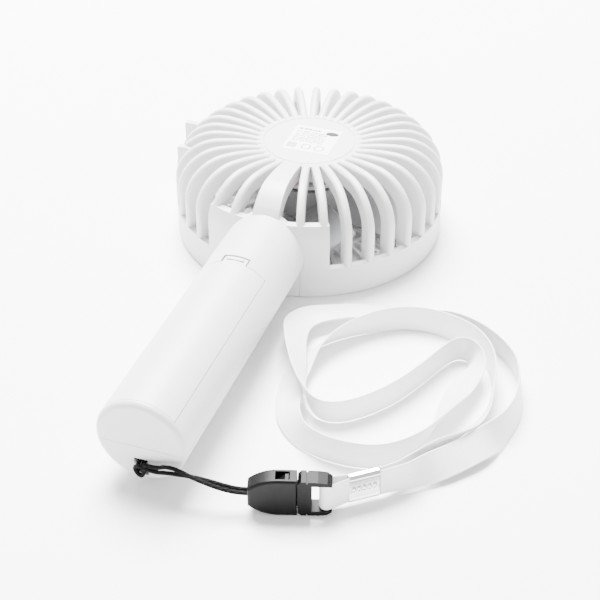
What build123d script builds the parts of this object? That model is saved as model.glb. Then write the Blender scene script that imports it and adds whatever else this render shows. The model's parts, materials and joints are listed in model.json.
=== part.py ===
from build123d import *

import os
from math import asin, cos, degrees, radians, sin, tan

# A handheld electric fan lying on its face: a caged round head, a straight round handle with its
# battery inside, and a strap of thin cord, side-release buckle and ribbon at the handle's tail.
# Millimetres. The origin is the centre of the head's flat front face, +Z points out of the fan's
# back, and the handle runs from the head along -Y.

os.makedirs("parts", exist_ok=True)

# --- driving dimensions -------------------------------------------------------------------------

HEAD_RADIUS = 53.0
BAND_TOP = 13.0  # height of the plain rim band, where the slots begin
BAND_WALL = 2.5
HUB_RADIUS = 18.0
HUB_TOP = 38.0
CREST_RADIUS = 36.0  # where the ribs stand highest
CREST_TOP = 40.5
SHOULDER_TOP = 24.0  # below this height the ribs stand straight
FIN_DEPTH = 5.5
SHELL_WALL = 2.4
RIB_WIDTH = 3.0
SLOT_START = 20.5  # radius of the slots' inner ends
PANEL_HALF_ANGLE = 27.0
PANEL_TOP = 31.0
BLOCK_HALF_ANGLE = 15.0  # the front housing's share of the rim band

HANDLE_RADIUS = 15.3
HANDLE_AXIS = 18.0  # height of the handle's axis
HANDLE_WALL = 2.2
TAIL = 162.0  # distance from the head's axis to the handle's tail
SPLIT = 16.0  # height where the two housings part
SEAM = 0.12

DOOR_HALF_WIDTH = 11.7
DOOR_FROM, DOOR_TO = 81.6, 160.0
DOOR_THICKNESS = 1.2

MOTOR_RADIUS = 12.2
SHAFT_RADIUS = 1.0
IMPELLER_RADIUS = 43.8
IMPELLER_MIDDLE = 13.6
BLADES = 5

CELL_RADIUS = 9.2
CELL_TAIL, CELL_HEAD = 153.2, 89.25
BULKHEAD = 86.0
BOARD_TOP = 10.0

CORD = 1.4
RIBBON_TUBE = 1.6
RIBBON_WIDTH = 10.0
BUCKLE_NOSE = (35.0, -160.6)
BUCKLE_ANGLE = 17.0
BUCKLE_WIDTH = 14.4
BUCKLE_DEPTH = 6.0
BUCKLE_BAR = 24.2  # from the nose to the ribbon's bar
CRIMP_ANGLE = 38.0
CRIMP_FROM_BAR = 6.9
CRIMP_LENGTH = 10.4

# --- shared geometry ----------------------------------------------------------------------------

# The dome's outline is a shallow arc from the hub up to the crest, then two arcs of 45 degrees
# each from the crest out and down to the straight side.
RUN = HEAD_RADIUS - CREST_RADIUS
DROP = CREST_TOP - SHOULDER_TOP
C45 = cos(radians(45))
CREST_ARC = (RUN * C45 - DROP * (1 - C45)) / (2 * C45 - 1)
RIM_ARC = (DROP * C45 - RUN * (1 - C45)) / (2 * C45 - 1)
HUB_RUN = CREST_RADIUS - HUB_RADIUS
HUB_RISE = CREST_TOP - HUB_TOP
HUB_ARC = (HUB_RUN**2 + HUB_RISE**2) / (2 * HUB_RISE)
HUB_TURN = degrees(asin(HUB_RUN / HUB_ARC))

HANDLE_BORE = HANDLE_RADIUS - HANDLE_WALL


def head_plane(azimuth):
    """The upright plane through the head's axis, azimuth degrees round from the handle."""
    a = radians(azimuth)
    return Plane(origin=(0, 0, 0), x_dir=(sin(a), -cos(a), 0), z_dir=(-cos(a), -sin(a), 0))


def dome_lines(depth, low):
    """The dome's outline, depth inside the outer surface: (hub end, foot) of the drawn chain."""
    crest = (CREST_RADIUS, CREST_TOP - depth)
    inward = JernArc(start=crest, tangent=(-1, 0), radius=HUB_ARC - depth, arc_size=HUB_TURN)
    outward = JernArc(start=crest, tangent=(1, 0), radius=CREST_ARC - depth, arc_size=-45)
    down = JernArc(start=outward @ 1, tangent=outward % 1, radius=RIM_ARC - depth, arc_size=-45)
    side = Line(down @ 1, (HEAD_RADIUS - depth, low))
    return inward @ 1, side @ 1


def dome_section(depth, low):
    """A closed section as thick as depth under the dome's outer surface."""
    outer_hub, outer_foot = dome_lines(0, low)
    inner_hub, inner_foot = dome_lines(depth, low)
    Line(outer_hub, inner_hub)
    Line(outer_foot, inner_foot)


def on_outer_side(edge):
    """Whether an edge of the fin runs along the dome's outer surface."""
    if edge.geom_type == GeomType.CIRCLE:
        return min(abs(edge.radius - r) for r in (HUB_ARC, CREST_ARC, RIM_ARC)) < 0.01
    return edge.center().X > HEAD_RADIUS - 0.01 and edge.length > RIB_WIDTH + 1


def at_y(distance):
    """The upright plane across the handle, distance from the head's axis."""
    return Plane.XZ.offset(distance)


def handle_disc(radius):
    """A circle of this radius on the handle's axis, in a plane from at_y."""
    with Locations((0, HANDLE_AXIS)):
        Circle(radius)


# The space inside the head, inside the dome's wall.
with BuildPart() as head_space:
    with BuildSketch(head_plane(90)):
        with BuildLine():
            hub_end, foot = dome_lines(SHELL_WALL, -1)
            Polyline(hub_end, (0, hub_end.Y), (0, -1), foot)
        make_face()
    revolve(axis=Axis.Z)

# The whole handle tube, before it is parted into front and rear.
with BuildPart() as handle_tube:
    with BuildSketch(at_y(45)):
        handle_disc(HANDLE_RADIUS)
    extrude(amount=TAIL - 45)
    fillet(handle_tube.faces().sort_by(Axis.Y)[0].edges(), radius=2)
    with BuildSketch(at_y(40)):
        handle_disc(HANDLE_BORE)
    extrude(amount=TAIL - 2 - 40, mode=Mode.SUBTRACT)
    add(head_space.part, mode=Mode.SUBTRACT)

# --- rear housing -------------------------------------------------------------------------------

# One fin of the dome, along +X, with its outer edges rounded.
with BuildPart() as fin:
    with BuildSketch(head_plane(90)):
        with BuildLine():
            dome_section(FIN_DEPTH, BAND_TOP - 2)
        make_face()
    extrude(amount=RIB_WIDTH / 2, both=True)
    fillet(fin.edges().filter_by(on_outer_side), radius=1.3)

# The wide spine towards the handle, which narrows towards the hub.
SPINE_AT_RIM, SPINE_AT_HUB = 10.5, 6.5
with BuildPart() as spine:
    with BuildSketch(head_plane(-20)):
        with BuildLine():
            dome_section(FIN_DEPTH, BAND_TOP)
        make_face()
    revolve(axis=Axis.Z, revolution_arc=40)
    with BuildSketch():
        with BuildLine():
            Polyline(
                (-SPINE_AT_HUB / 2, -HUB_RADIUS + 2),
                (SPINE_AT_HUB / 2, -HUB_RADIUS + 2),
                (SPINE_AT_RIM / 2, -HEAD_RADIUS - 1),
                (-SPINE_AT_RIM / 2, -HEAD_RADIUS - 1),
                close=True,
            )
        make_face()
    extrude(amount=CREST_TOP + 1, mode=Mode.INTERSECT)

# The plain wall round the neck, below the short slots.
with BuildPart() as neck_wall:
    with BuildSketch(head_plane(-PANEL_HALF_ANGLE)):
        with BuildLine():
            dome_section(SHELL_WALL, BAND_TOP - 1)
        make_face()
    revolve(axis=Axis.Z, revolution_arc=2 * PANEL_HALF_ANGLE)
    split(bisect_by=Plane.XY.offset(PANEL_TOP), keep=Keep.BOTTOM)

# Two square-shouldered ears on the head's left side, which end at the dome's wall.
EAR_THICKNESS = 2.6
EARS = ((54.8, 5.0), (50.0, -14.0))  # each ear's reach from the axis, and its place along it
EAR_IN, EAR_TOP = 40.0, 34.0
with BuildPart() as ears:
    with BuildSketch(Plane.XY.offset(BAND_TOP - 4)):
        for reach, y in EARS:
            with Locations((-(reach + EAR_IN) / 2, y)):
                Rectangle(reach - EAR_IN, EAR_THICKNESS)
    extrude(amount=EAR_TOP - BAND_TOP + 4)
    fillet(ears.faces().sort_by(Axis.Z)[-2:].edges(), radius=0.5)
    add(head_space.part, mode=Mode.SUBTRACT)

BLOCK_GAP = 0.15  # degrees between the band and the neck block
BOSS_RADIUS, BOSS_X = 2.8, 9.5
BOSS_PLACES = (58.0, 78.0)
BOSS_POINTS = [(x, -y) for x in (-BOSS_X, BOSS_X) for y in BOSS_PLACES]
HOUSING_PILOT = 0.97
RETAINER_TOP = 24.7
RETAINER_SCREW_X = 17.0
RETAINER_PILOT = 0.87
CUP_TOP = HUB_TOP - 2.5
MOTOR_SEAT = 35.3


def band_section(top):
    """The rim band's section, with a rounded front edge."""
    round_edge = 1.2
    with BuildLine() as outline:
        Polyline(
            (HEAD_RADIUS - round_edge, 0),
            (HEAD_RADIUS - BAND_WALL, 0),
            (HEAD_RADIUS - BAND_WALL, top),
            (HEAD_RADIUS, top),
            (HEAD_RADIUS, round_edge),
        )
        RadiusArc((HEAD_RADIUS, round_edge), (HEAD_RADIUS - round_edge, 0), round_edge)
    make_face(outline.edges())


def neck_sector(half_angle, top):
    """Everything at the rim within half_angle of the handle and lower than top, as a cut."""
    with BuildPart() as sector:
        with BuildSketch(head_plane(-half_angle)) as section:
            with Locations((HEAD_RADIUS, top / 2 - 1)):
                Rectangle(16, top + 2)
        revolve(section.sketch, axis=Axis.Z, revolution_arc=2 * half_angle)
    return sector.part


neck_cut = neck_sector(BLOCK_HALF_ANGLE + BLOCK_GAP, SPLIT + SEAM / 2)

# The rear half of the handle, with the battery opening, the latch's recess and screw bosses.
LEDGE_HALF_WIDTH = 10.4
RECESS_HALF_WIDTH, RECESS_FROM = 4.9, 77.6
with BuildPart() as handle_rear:
    add(handle_tube.part)
    # a stepped opening: a shallow seat for the door, then the hole the cell drops through
    with BuildSketch(at_y(DOOR_FROM)):
        with Locations((0, HANDLE_AXIS + HANDLE_RADIUS)):
            Rectangle(2 * DOOR_HALF_WIDTH, 2 * HANDLE_RADIUS)
        with Locations((0, HANDLE_AXIS)):
            Circle(HANDLE_RADIUS - DOOR_THICKNESS, mode=Mode.SUBTRACT)
    extrude(amount=DOOR_TO - DOOR_FROM, mode=Mode.SUBTRACT)
    with BuildSketch(at_y(DOOR_FROM + 1.5)):
        with Locations((0, HANDLE_AXIS + HANDLE_RADIUS)):
            Rectangle(2 * LEDGE_HALF_WIDTH, 2 * HANDLE_RADIUS)
    extrude(amount=DOOR_TO - DOOR_FROM - 3, mode=Mode.SUBTRACT)
    with BuildSketch(at_y(RECESS_FROM)):
        with Locations((0, HANDLE_AXIS + HANDLE_RADIUS)):
            Rectangle(2 * RECESS_HALF_WIDTH, HANDLE_RADIUS)
    extrude(amount=DOOR_FROM - RECESS_FROM, mode=Mode.SUBTRACT)
    with BuildSketch(Plane.XY.offset(SPLIT)):
        with Locations(*BOSS_POINTS):
            Circle(BOSS_RADIUS)
    extrude(amount=11)
    with Locations(*[(x, y, SPLIT) for x, y in BOSS_POINTS]):
        Cylinder(HOUSING_PILOT, 9, align=(Align.CENTER, Align.CENTER, Align.MIN), mode=Mode.SUBTRACT)
    split(bisect_by=Plane.XY.offset(SPLIT + SEAM / 2), keep=Keep.TOP)

with BuildPart() as rear_housing:
    with BuildSketch(head_plane(BLOCK_HALF_ANGLE + BLOCK_GAP)):
        band_section(BAND_TOP)
    revolve(axis=Axis.Z, revolution_arc=360 - 2 * (BLOCK_HALF_ANGLE + BLOCK_GAP))
    # fins at odd multiples of half the pitch, without the pair that the spine covers
    with PolarLocations(0, 34, start_angle=-75, angular_range=330, endpoint=True):
        add(fin.part)
    add(spine.part)
    # hub disc with its ring line
    with BuildSketch(Plane.XY.offset(HUB_TOP)):
        Circle(SLOT_START)
    extrude(amount=CUP_TOP - HUB_TOP)
    with BuildSketch(Plane.XY.offset(HUB_TOP)):
        Circle(HUB_RADIUS + 0.2)
        Circle(HUB_RADIUS - 0.2, mode=Mode.SUBTRACT)
    extrude(amount=-0.3, mode=Mode.SUBTRACT)
    # the motor's cup, open towards the spine for its leads, and the retainer's two bosses
    with BuildSketch(Plane.XY.offset(CUP_TOP)):
        Circle(MOTOR_RADIUS + 2.1)
        Circle(MOTOR_RADIUS + 0.1, mode=Mode.SUBTRACT)
    extrude(amount=-8)
    with BuildSketch(Plane.XY.offset(CUP_TOP)):
        with Locations((RETAINER_SCREW_X, 0), (-RETAINER_SCREW_X, 0)):
            Circle(2.3)
    extrude(amount=RETAINER_TOP - CUP_TOP)
    with Locations((RETAINER_SCREW_X, 0, RETAINER_TOP), (-RETAINER_SCREW_X, 0, RETAINER_TOP)):
        Cylinder(
            RETAINER_PILOT, 8, align=(Align.CENTER, Align.CENTER, Align.MIN), mode=Mode.SUBTRACT
        )
    with Locations((0, -13.5, CUP_TOP - 4)):
        Box(8, 5, 8, mode=Mode.SUBTRACT)
    # neck wall, open towards the handle
    add(neck_wall.part)
    add(neck_cut, mode=Mode.SUBTRACT)
    with BuildSketch(at_y(46)):
        handle_disc(HANDLE_RADIUS + SEAM)
        with Locations((0, SPLIT / 2)):
            Rectangle(40, SPLIT + SEAM, mode=Mode.INTERSECT)
    extrude(amount=8, mode=Mode.SUBTRACT)
    with BuildSketch(at_y(44)):
        handle_disc(HANDLE_BORE)
    extrude(amount=14, mode=Mode.SUBTRACT)
    add(handle_rear.part)
    add(ears.part)
rear_housing.part.label = "rear_housing"
export_step(rear_housing.part, "parts/rear_housing.step")

# --- front housing ------------------------------------------------------------------------------

BUTTON_Y, LED_Y, USB_Y = -66.0, -73.0, -79.0
BUTTON_RADIUS = 4.5
USB_WIDTH, USB_THICKNESS = 8.0, 3.2
LIGHT_PIPE_RADIUS = 1.2
PAD_TOP = 4.9  # height of the flat inside the wall round the button
STRAP_BAR = (-161.0, 8.0)  # the strap bar's y and z
STRAP_BAR_RADIUS = 1.1
POCKET_HALF_WIDTH = 2.4
POCKET_HEIGHT = 6.4
POCKET_FROM = 158.2
SCREW_HEAD_TOP = 9.5
BATTERY_LEAD_HOLE = (8.6, 9.4)  # x and z

# The neck block: the front housing's share of the rim band.
with BuildPart() as neck_block:
    with BuildSketch(head_plane(-BLOCK_HALF_ANGLE)):
        band_section(SPLIT - SEAM / 2)
    revolve(axis=Axis.Z, revolution_arc=2 * BLOCK_HALF_ANGLE)

# A solid tail round the strap pocket.
with BuildPart() as tail_block:
    with BuildSketch(at_y(156)):
        with Locations((0, 7.2)):
            Rectangle(2 * POCKET_HALF_WIDTH + 3, 10.2)
    extrude(amount=5)
    with BuildSketch(at_y(155)):
        handle_disc(HANDLE_RADIUS - 1)
    extrude(amount=7, mode=Mode.INTERSECT)

# The wall between the battery and the electronics, with a slot and a hole for the conductors.
BULKHEAD_TOP = 27.0
with BuildPart() as bulkhead:
    for radius, top in ((HANDLE_BORE + 0.3, SPLIT - SEAM / 2), (HANDLE_BORE - 0.2, BULKHEAD_TOP)):
        with BuildSketch(at_y(BULKHEAD)):
            handle_disc(radius)
            with Locations((0, top / 2)):
                Rectangle(30, top, mode=Mode.INTERSECT)
        extrude(amount=1.5)
    with BuildSketch(at_y(BULKHEAD - 1)):
        with Locations((0, BOARD_TOP + 0.3)):
            Rectangle(4.4, 0.8)
        with Locations(BATTERY_LEAD_HOLE):
            Circle(1.0)
    extrude(amount=4, mode=Mode.SUBTRACT)

with BuildPart() as front_housing:
    add(handle_tube.part)
    split(bisect_by=Plane.XY.offset(SPLIT - SEAM / 2), keep=Keep.BOTTOM)
    add(tail_block.part)
    add(neck_block.part)
    add(bulkhead.part)
    with BuildSketch(at_y(46)):
        handle_disc(HANDLE_BORE)
    extrude(amount=10, mode=Mode.SUBTRACT)
    # screw bosses and the two ribs that carry the board
    with BuildSketch(Plane.XY.offset(SPLIT - SEAM / 2)):
        with Locations(*BOSS_POINTS):
            Circle(BOSS_RADIUS)
    extrude(amount=9 - SPLIT)
    with Locations((0, -61.5, 6.9), (0, -82.9, 6.9)):
        Box(12, 1.2, 4)
    # strap pocket low in the tail's end face, with its bar
    with BuildSketch(at_y(POCKET_FROM)):
        with Locations((0, STRAP_BAR[1])):
            Rectangle(2 * POCKET_HALF_WIDTH, POCKET_HEIGHT)
    extrude(amount=6, mode=Mode.SUBTRACT)
    with Locations(Location((0, STRAP_BAR[0], STRAP_BAR[1]), (0, 90, 0))):
        Cylinder(STRAP_BAR_RADIUS, 2 * POCKET_HALF_WIDTH + 1)
    # screw holes
    with Locations(*[(x, y, SCREW_HEAD_TOP) for x, y in BOSS_POINTS]):
        Cylinder(2.1, 12, align=(Align.CENTER, Align.CENTER, Align.MAX), mode=Mode.SUBTRACT)
        Cylinder(1.05, 8, align=(Align.CENTER, Align.CENTER, Align.MIN), mode=Mode.SUBTRACT)
    # openings for the button, the light and the socket
    with Locations((0, BUTTON_Y, 0)):
        Cylinder(BUTTON_RADIUS + 0.15, 12, mode=Mode.SUBTRACT)
    with Locations((0, BUTTON_Y, PAD_TOP)):
        Cylinder(6.2, 3, align=(Align.CENTER, Align.CENTER, Align.MIN), mode=Mode.SUBTRACT)
    with Locations((0, LED_Y, 0)):
        Cylinder(LIGHT_PIPE_RADIUS + 0.02, 12, mode=Mode.SUBTRACT)
    with Locations((0, USB_Y, 3)):
        Box(USB_WIDTH + 0.6, USB_THICKNESS + 0.6, 5, mode=Mode.SUBTRACT)
front_housing.part.label = "front_housing"
export_step(front_housing.part, "parts/front_housing.step")

# --- front grille -------------------------------------------------------------------------------

GRILLE_RADIUS = HEAD_RADIUS - BAND_WALL - 0.15
GRILLE_HUB = 14.0
GRILLE_BACK, GRILLE_FRONT = 2.8, 0.8
GRILLE_BARS = 18
BAR_WIDTH = 1.3
BAR_SLANT = 24.0  # degrees that a bar leans from the radius, to either side

with BuildPart() as front_grille:
    with BuildSketch(Plane.XY.offset(GRILLE_FRONT)):
        for lean in (-BAR_SLANT, BAR_SLANT):
            with PolarLocations(GRILLE_HUB - 1, GRILLE_BARS):
                with Locations(Location((0, 0), lean)):
                    Rectangle(40, BAR_WIDTH, align=(Align.MIN, Align.CENTER))
        Circle(GRILLE_RADIUS - 0.5, mode=Mode.INTERSECT)
        Circle(GRILLE_HUB)
        for ring in (26.0, 38.0):
            with BuildSketch(mode=Mode.PRIVATE) as hoop:
                Circle(ring + 0.7)
                Circle(ring - 0.7, mode=Mode.SUBTRACT)
            add(hoop.sketch)
    extrude(amount=GRILLE_BACK - GRILLE_FRONT)
    with BuildSketch(Plane.XY.offset(GRILLE_FRONT)):
        Circle(GRILLE_RADIUS)
        Circle(GRILLE_RADIUS - 1.6, mode=Mode.SUBTRACT)
    extrude(amount=6)
    with BuildSketch(Plane.XY):
        Circle(GRILLE_HUB - 2)
    extrude(amount=GRILLE_FRONT)
front_grille.part.label = "front_grille"
export_step(front_grille.part, "parts/front_grille.step")

# --- impeller and motor -------------------------------------------------------------------------

CUP_RADIUS = 13.5
BLADE_THICKNESS = 1.3


def blade_station(radius, chord, pitch, sweep):
    """A flat blade section across the radius, pitched to the head's plane and moved by sweep."""
    p = radians(pitch)
    station = Plane(
        origin=(radius, sweep, IMPELLER_MIDDLE), x_dir=(0, cos(p), sin(p)), z_dir=(1, 0, 0)
    )
    with BuildSketch(station) as section:
        SlotOverall(chord, BLADE_THICKNESS)
    return section.sketch


with BuildPart() as blade:
    root = blade_station(CUP_RADIUS - 2.5, 14.5, 40, 0)
    middle = blade_station(27, 25, 32, 1.5)
    tip = blade_station(IMPELLER_RADIUS, 35, 24, 4)
    loft(sections=[root, middle, tip])
    with BuildSketch():
        Circle(IMPELLER_RADIUS)
    extrude(amount=30, mode=Mode.INTERSECT)

with BuildPart() as impeller:
    with BuildSketch(Plane.XY.offset(8.5)):
        Circle(CUP_RADIUS)
    extrude(amount=13.3)
    fillet(impeller.faces().sort_by(Axis.Z)[0].edges(), radius=2)
    with BuildSketch(Plane.XY.offset(10.3)):
        Circle(CUP_RADIUS - 1.4)
    extrude(amount=12, mode=Mode.SUBTRACT)
    with BuildSketch(Plane.XY.offset(10)):
        Circle(3)
    extrude(amount=10)
    with PolarLocations(0, BLADES):
        add(blade.part)
    with BuildSketch(Plane.XY.offset(10.3)):
        Circle(CUP_RADIUS - 1.4)
        Circle(3, mode=Mode.SUBTRACT)
    extrude(amount=12, mode=Mode.SUBTRACT)
    with BuildSketch(Plane.XY.offset(10.2)):
        Circle(SHAFT_RADIUS)
    extrude(amount=12, mode=Mode.SUBTRACT)
impeller.part.label = "impeller"
export_step(impeller.part, "parts/impeller.step")

CAN_FRONT = RETAINER_TOP
CAN_BACK = 33.3
with BuildPart() as motor_shaft:
    with BuildSketch(Plane.XY.offset(10.25)):
        Circle(SHAFT_RADIUS)
    extrude(amount=24.5)
motor_shaft.part.label = "motor_shaft"
export_step(motor_shaft.part, "parts/motor_shaft.step")

with BuildPart() as motor_armature:
    with BuildSketch(Plane.XY.offset(27.2)):
        Circle(2.4)
        with PolarLocations(0, 3):
            Rectangle(8.2, 2.4, align=(Align.MIN, Align.CENTER))
        with BuildSketch(mode=Mode.PRIVATE) as pole_ring:
            Circle(8.8)
            Circle(7.2, mode=Mode.SUBTRACT)
            with PolarLocations(8, 3, start_angle=60):
                Rectangle(5, 2.4, mode=Mode.SUBTRACT)
        add(pole_ring.sketch)
        Circle(SHAFT_RADIUS, mode=Mode.SUBTRACT)
    extrude(amount=4.4)
motor_armature.part.label = "motor_armature"
export_step(motor_armature.part, "parts/motor_armature.step")

with BuildPart() as motor_can:
    with BuildSketch(Plane.XY.offset(CAN_FRONT)):
        Circle(MOTOR_RADIUS)
    extrude(amount=CAN_BACK - CAN_FRONT)
    fillet(motor_can.faces().sort_by(Axis.Z)[0].edges(), radius=0.8)
    with BuildSketch(Plane.XY.offset(CAN_FRONT - 1)):
        Circle(3.6)
    extrude(amount=1.5)
    with BuildSketch(Plane.XY.offset(CAN_FRONT + 0.8)):
        Circle(MOTOR_RADIUS - 0.8)
    extrude(amount=9, mode=Mode.SUBTRACT)
    with BuildSketch(Plane.XY.offset(CAN_FRONT - 1)):
        Circle(2.5)
    extrude(amount=2, mode=Mode.SUBTRACT)
motor_can.part.label = "motor_can"
export_step(motor_can.part, "parts/motor_can.step")


def bush(height, length):
    """A sintered bush round the motor's shaft, from this height up."""
    with BuildPart() as made:
        with BuildSketch(Plane.XY.offset(height)):
            Circle(2.48)
            Circle(SHAFT_RADIUS + 0.03, mode=Mode.SUBTRACT)
        extrude(amount=length)
    return made.part


front_bush = bush(CAN_FRONT - 1, 2)
front_bush.label = "front_bush"
export_step(front_bush, "parts/front_bush.step")
rear_bush = bush(CAN_BACK - 0.4, 2)
rear_bush.label = "rear_bush"
export_step(rear_bush, "parts/rear_bush.step")

with BuildPart() as motor_magnets:
    with BuildSketch(Plane.XY.offset(26.6)):
        Circle(MOTOR_RADIUS - 0.85)
        Circle(9.2, mode=Mode.SUBTRACT)
        Rectangle(9, 30, mode=Mode.SUBTRACT)
    extrude(amount=5.6)
motor_magnets.part.label = "motor_magnets"
export_step(motor_magnets.part, "parts/motor_magnets.step")

TERMINAL_X = 3.0
TERMINAL_HEIGHT = 34.0
with BuildPart() as motor_end_cap:
    with BuildSketch(Plane.XY.offset(CAN_BACK)):
        Circle(MOTOR_RADIUS)
    extrude(amount=MOTOR_SEAT - CAN_BACK)
    with BuildSketch(Plane.XY.offset(CAN_BACK - 0.8)):
        Circle(MOTOR_RADIUS - 0.85)
    extrude(amount=0.8)
    with BuildSketch(Plane.XY.offset(CAN_BACK - 0.8)):
        Circle(2.5)
    extrude(amount=4, mode=Mode.SUBTRACT)
    with Locations((TERMINAL_X, -11, TERMINAL_HEIGHT), (-TERMINAL_X, -11, TERMINAL_HEIGHT)):
        Box(1.8, 6, 0.4, mode=Mode.SUBTRACT)
motor_end_cap.part.label = "motor_end_cap"
export_step(motor_end_cap.part, "parts/motor_end_cap.step")

with BuildPart() as motor_terminals:
    with Locations((TERMINAL_X, -11, TERMINAL_HEIGHT), (-TERMINAL_X, -11, TERMINAL_HEIGHT)):
        Box(1.8, 5.6, 0.4)
motor_terminals.part.label = "motor_terminals"
export_step(motor_terminals.part, "parts/motor_terminals.step")

with BuildPart() as motor_retainer:
    with BuildSketch(Plane.XY.offset(RETAINER_TOP - 1.4)):
        Circle(CUP_RADIUS)
        SlotOverall(2 * RETAINER_SCREW_X + 5, 5)
        Circle(4.0, mode=Mode.SUBTRACT)
        with Locations((RETAINER_SCREW_X, 0), (-RETAINER_SCREW_X, 0)):
            Circle(1.0, mode=Mode.SUBTRACT)
    extrude(amount=1.4 - 0.02)
motor_retainer.part.label = "motor_retainer"
export_step(motor_retainer.part, "parts/motor_retainer.step")


def screws(points, head_bottom, head_radius, shank_radius, length):
    """Pan-head screws driven upwards, one at each point, with a cross recess in each head."""
    with BuildPart() as made:
        with BuildSketch(Plane.XY.offset(head_bottom)):
            with Locations(*points):
                Circle(head_radius)
        extrude(amount=1.0)
        with BuildSketch(Plane.XY.offset(head_bottom)):
            with Locations(*points):
                Circle(shank_radius)
        extrude(amount=length)
        with BuildSketch(Plane.XY.offset(head_bottom)):
            with Locations(*points):
                Rectangle(2 * head_radius - 1.2, 0.5)
                Rectangle(0.5, 2 * head_radius - 1.2)
        extrude(amount=0.6, mode=Mode.SUBTRACT)
    return made.part


retainer_points = [(RETAINER_SCREW_X, 0), (-RETAINER_SCREW_X, 0)]
motor_screws = screws(retainer_points, RETAINER_TOP - 2.42, 1.8, RETAINER_PILOT - 0.02, 8)
motor_screws.label = "motor_screws"
export_step(motor_screws, "parts/motor_screws.step")
housing_screws = screws(BOSS_POINTS, SCREW_HEAD_TOP - 1.02, 1.9, HOUSING_PILOT - 0.02, 14)
housing_screws.label = "housing_screws"
export_step(housing_screws, "parts/housing_screws.step")

# --- battery and contacts -----------------------------------------------------------------------

with BuildPart() as battery_cell:
    with BuildSketch(at_y(CELL_HEAD)):
        handle_disc(CELL_RADIUS)
    extrude(amount=CELL_TAIL - CELL_HEAD)
    fillet(battery_cell.edges(), radius=0.6)
    with BuildSketch(at_y(CELL_HEAD - 1.2)):
        handle_disc(2.8)
    extrude(amount=2)
battery_cell.part.label = "battery_cell"
export_step(battery_cell.part, "parts/battery_cell.step")

with BuildPart() as battery_contact:
    with BuildSketch(at_y(BULKHEAD + 1.52)):
        with Locations((0, 15.5)):
            Rectangle(9, 11)
    extrude(amount=0.4)
    with Locations((0, -84.9, BOARD_TOP + 0.22)):
        Box(4, 6, 0.4)
battery_contact.part.label = "battery_contact"
export_step(battery_contact.part, "parts/battery_contact.step")

SPRING_WIRE = 0.35
with BuildPart() as battery_spring:
    with BuildSketch(at_y(TAIL - 2.4)):
        with Locations((0, 18.5)):
            Rectangle(12, 12)
    extrude(amount=0.4)
    coil_start = (0, -CELL_TAIL - 0.4, HANDLE_AXIS)
    with BuildLine():
        coil = Helix(pitch=1.45, height=5.9, radius=3.6, center=coil_start, direction=(0, -1, 0))
    with BuildSketch(Plane(origin=coil @ 0, z_dir=coil % 0)):
        Circle(SPRING_WIRE)
    sweep(path=coil)
battery_spring.part.label = "battery_spring"
export_step(battery_spring.part, "parts/battery_spring.step")

# --- battery door and latch ---------------------------------------------------------------------


def door_arc(at, length, outer, inner, half_width):
    """A curved plate on the handle's rear side, from this distance along the handle."""
    with BuildPart() as made:
        with BuildSketch(at_y(at)):
            handle_disc(outer)
            with Locations((0, HANDLE_AXIS)):
                Circle(inner, mode=Mode.SUBTRACT)
            with Locations((0, HANDLE_AXIS + outer)):
                Rectangle(2 * half_width, 1.6 * outer, mode=Mode.INTERSECT)
        extrude(amount=length)
    return made.part


DOOR_CLEARANCE = 0.15
DOOR_HEAD_CLEARANCE = 0.35  # wider, for the door's lower corners as it swings open
battery_door = door_arc(
    DOOR_FROM + DOOR_HEAD_CLEARANCE,
    DOOR_TO - DOOR_FROM - DOOR_HEAD_CLEARANCE - DOOR_CLEARANCE,
    HANDLE_RADIUS,
    HANDLE_RADIUS - DOOR_THICKNESS + 0.1,
    DOOR_HALF_WIDTH - DOOR_CLEARANCE,
)
battery_door.label = "battery_door"
export_step(battery_door, "parts/battery_door.step")

with BuildPart() as door_latch:
    add(door_arc(RECESS_FROM + 0.6, DOOR_FROM - RECESS_FROM - 0.7, 15.0, 14.15, 4.3))
    with BuildSketch(at_y(RECESS_FROM + 1.4)):
        with Locations((0, HANDLE_AXIS + 15.0)):
            Rectangle(6, 0.7)
    extrude(amount=1.2)
door_latch.part.label = "door_latch"
export_step(door_latch.part, "parts/door_latch.step")

# --- electronics --------------------------------------------------------------------------------

with BuildPart() as circuit_board:
    with Locations((0, -72.1, BOARD_TOP - 0.5)):
        Box(13, 23.6, 1)
circuit_board.part.label = "circuit_board"
export_step(circuit_board.part, "parts/circuit_board.step")

BOARD_UNDER = BOARD_TOP - 1
with BuildPart() as usb_socket:
    with Locations((0, USB_Y, (BOARD_UNDER + 4.0) / 2)):
        Box(USB_WIDTH, USB_THICKNESS, BOARD_UNDER - 4.0)
    with Locations((0, USB_Y, 5.4)):
        Box(USB_WIDTH - 0.8, USB_THICKNESS - 0.8, 4, mode=Mode.SUBTRACT)
    with Locations((0, USB_Y, 6.4)):
        Box(USB_WIDTH - 2.4, 0.8, 3.4)
usb_socket.part.label = "usb_socket"
export_step(usb_socket.part, "parts/usb_socket.step")

SWITCH_FRONT = 6.6
PLUNGER_RADIUS = 1.6
with BuildPart() as switch_body:
    with Locations((0, BUTTON_Y, (SWITCH_FRONT + BOARD_UNDER) / 2)):
        Box(6, 6, BOARD_UNDER - SWITCH_FRONT)
    with Locations((0, BUTTON_Y, SWITCH_FRONT)):
        Cylinder(
            PLUNGER_RADIUS + 0.05,
            1.9,
            align=(Align.CENTER, Align.CENTER, Align.MIN),
            mode=Mode.SUBTRACT,
        )
switch_body.part.label = "switch_body"
export_step(switch_body.part, "parts/switch_body.step")

BUTTON_BACK = 5.7
with BuildPart() as switch_plunger:
    with BuildSketch(Plane.XY.offset(BUTTON_BACK + 0.02)):
        with Locations((0, BUTTON_Y)):
            Circle(PLUNGER_RADIUS)
    extrude(amount=2.2)
switch_plunger.part.label = "switch_plunger"
export_step(switch_plunger.part, "parts/switch_plunger.step")

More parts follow.
